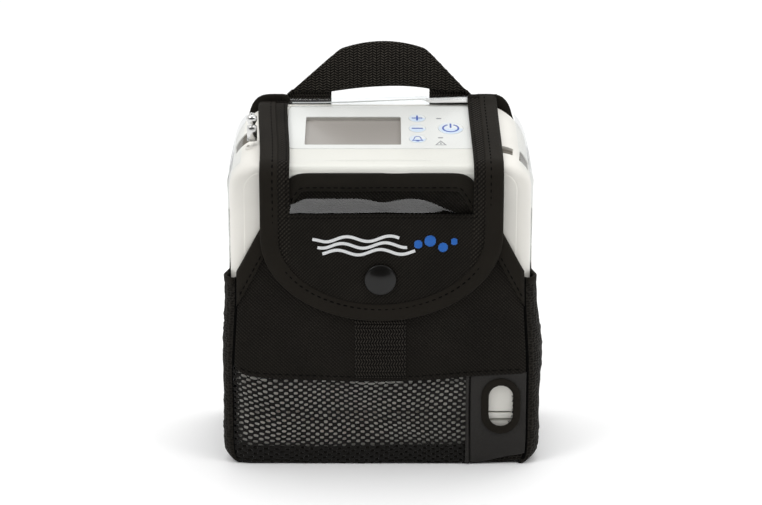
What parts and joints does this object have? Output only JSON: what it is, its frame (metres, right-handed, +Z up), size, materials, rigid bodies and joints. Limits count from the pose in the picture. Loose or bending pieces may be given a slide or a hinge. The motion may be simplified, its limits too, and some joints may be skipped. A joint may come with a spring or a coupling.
{
  "type": "portable oxygen concentrator in a carry bag",
  "caption": "Small portable oxygen concentrator standing in a soft black carry bag with clear windows, a snap-down front flap, a mesh pocket front and a webbing handle.",
  "frame": {"origin": "middle of the bag's flat underside, on the surface it stands on", "axes": "+X to the right of someone facing the front, -Y out of the front towards them, +Z up"},
  "size_m": [0.156, 0.0813, 0.1995],
  "materials": {
    "twill": "matt black 2/2 twill nylon",
    "mesh_cloth": "black open knitted mesh",
    "grain_cloth": "smooth coated black cloth with a fine grain",
    "binding": "black folded edge binding, lock stitched",
    "webbing": "black ribbed polypropylene webbing",
    "clear_vinyl": "clear flexible film, glossy and slightly wavy",
    "white_shell": "warm white moulded plastic with a fine satin grain",
    "grey_plastic": "light grey satin plastic",
    "black_plastic": "black moulded plastic",
    "snap_black": "black gloss lacquer on a domed snap",
    "key_pad": "pale blue translucent key top with a printed mark",
    "lcd": "warm grey reflective display, unlit",
    "circuit_board": "green solder mask",
    "cell_wrap": "shrink sleeve over lithium cells",
    "foam": "dark open-cell foam or soft rubber",
    "bright_steel": "bright plated metal",
    "shaft_steel": "ground steel",
    "cast_aluminium": "satin aluminium",
    "winding": "enamelled copper windings on a laminated core"
  },
  "bodies": {
    "bag_and_unit": {"bag_base": "twill", "bag_back_panel": "twill", "bag_front_panel": "twill", "bib_binding": "binding", "front_mesh_panel": "mesh_cloth", "corner_patch": "grain_cloth", "port_ring": "binding", "gusset_left": "twill", "gusset_right": "twill", "side_window_left": "clear_vinyl", "side_window_right": "clear_vinyl", "seam_piping_left": "binding", "seam_piping_right": "binding", "webbing_strip": "webbing", "snap_stud": "bright_steel", "handle_tail_left": "webbing", "handle_tail_right": "webbing", "main_housing": "white_shell", "front_cover": "white_shell", "rear_cover": "white_shell", "control_overlay": "grey_plastic", "lcd_module": "lcd", "display_board": "circuit_board", "nozzle_seat": "grey_plastic", "nozzle_barb": "bright_steel", "power_inlet": "black_plastic", "chassis_tray": "grey_plastic", "battery_case": "white_shell", "battery_cells": "cell_wrap", "compressor_mount": "foam", "motor_stator": "winding", "compressor_block": "cast_aluminium", "cylinder_head_left": "cast_aluminium", "cylinder_head_right": "cast_aluminium", "sieve_column_front": "cast_aluminium", "sieve_column_rear": "cast_aluminium", "column_manifold": "grey_plastic", "valve_block": "grey_plastic", "product_tank": "cast_aluminium", "intake_filter": "foam", "fan_housing": "black_plastic", "main_board": "circuit_board"},
    "flap_top": {"flap_top_band": "twill", "flap_top_window": "clear_vinyl"},
    "flap_front": {"flap_front_panel": "twill", "flap_front_window": "clear_vinyl", "flap_binding": "binding", "snap_cap": "snap_black", "snap_socket": "bright_steel"},
    "carry_handle": {"handle_webbing": "webbing"},
    "key_plus": {"key_plus": "key_pad"},
    "key_minus": {"key_minus": "key_pad"},
    "key_bell": {"key_bell": "key_pad"},
    "key_power": {"key_power": "key_pad"},
    "battery_latch": {"battery_latch": "grey_plastic"},
    "crank": {"crank_rotor": "shaft_steel"},
    "piston_left": {"piston_left": "cast_aluminium"},
    "piston_right": {"piston_right": "cast_aluminium"},
    "fan": {"fan_rotor": "black_plastic"}
  },
  "joints": [
    {"name": "flap_lift", "type": "hinge", "parent": "bag_and_unit", "child": "flap_top", "pos_m": [0, 0.0364, 0.1708], "axis": [-1, 0, 0], "range_deg": [0, 95]},
    {"name": "flap_fold", "type": "hinge", "parent": "flap_top", "child": "flap_front", "pos_m": [0, -0.0372, 0.1552], "axis": [-1, 0, 0], "range_deg": [0, 100]},
    {"name": "handle_swing", "type": "hinge", "parent": "bag_and_unit", "child": "carry_handle", "pos_m": [0, 0.0391, 0.1699], "axis": [-1, 0, 0], "range_deg": [0, 100], "stiffness_Nm_per_rad": 0.02},
    {"name": "key_plus_press", "type": "slide", "parent": "bag_and_unit", "child": "key_plus", "axis": [0, 0.2154, -0.9765], "range_m": [0, 0.0005], "stiffness_N_per_m": 400},
    {"name": "key_minus_press", "type": "slide", "parent": "bag_and_unit", "child": "key_minus", "axis": [0, 0.2154, -0.9765], "range_m": [0, 0.0005], "stiffness_N_per_m": 400},
    {"name": "key_bell_press", "type": "slide", "parent": "bag_and_unit", "child": "key_bell", "axis": [0, 0.2154, -0.9765], "range_m": [0, 0.0005], "stiffness_N_per_m": 400},
    {"name": "key_power_press", "type": "slide", "parent": "bag_and_unit", "child": "key_power", "axis": [0, 0.2154, -0.9765], "range_m": [0, 0.0005], "stiffness_N_per_m": 400},
    {"name": "battery_latch_slide", "type": "slide", "parent": "bag_and_unit", "child": "battery_latch", "axis": [0, 0, 1], "range_m": [0, 0.003], "stiffness_N_per_m": 300},
    {"name": "crank_spin", "type": "hinge", "parent": "bag_and_unit", "child": "crank", "pos_m": [0.025, 0, 0.085], "axis": [0, 0, 1], "continuous": true},
    {"name": "piston_left_stroke", "type": "slide", "parent": "bag_and_unit", "child": "piston_left", "axis": [1, 0, 0], "range_m": [-0.0025, 0.0025]},
    {"name": "piston_right_stroke", "type": "slide", "parent": "bag_and_unit", "child": "piston_right", "axis": [1, 0, 0], "range_m": [-0.0025, 0.0025]},
    {"name": "fan_spin", "type": "hinge", "parent": "bag_and_unit", "child": "fan", "pos_m": [0.042, 0.023, 0.136], "axis": [0, 1, 0], "continuous": true}
  ]
}
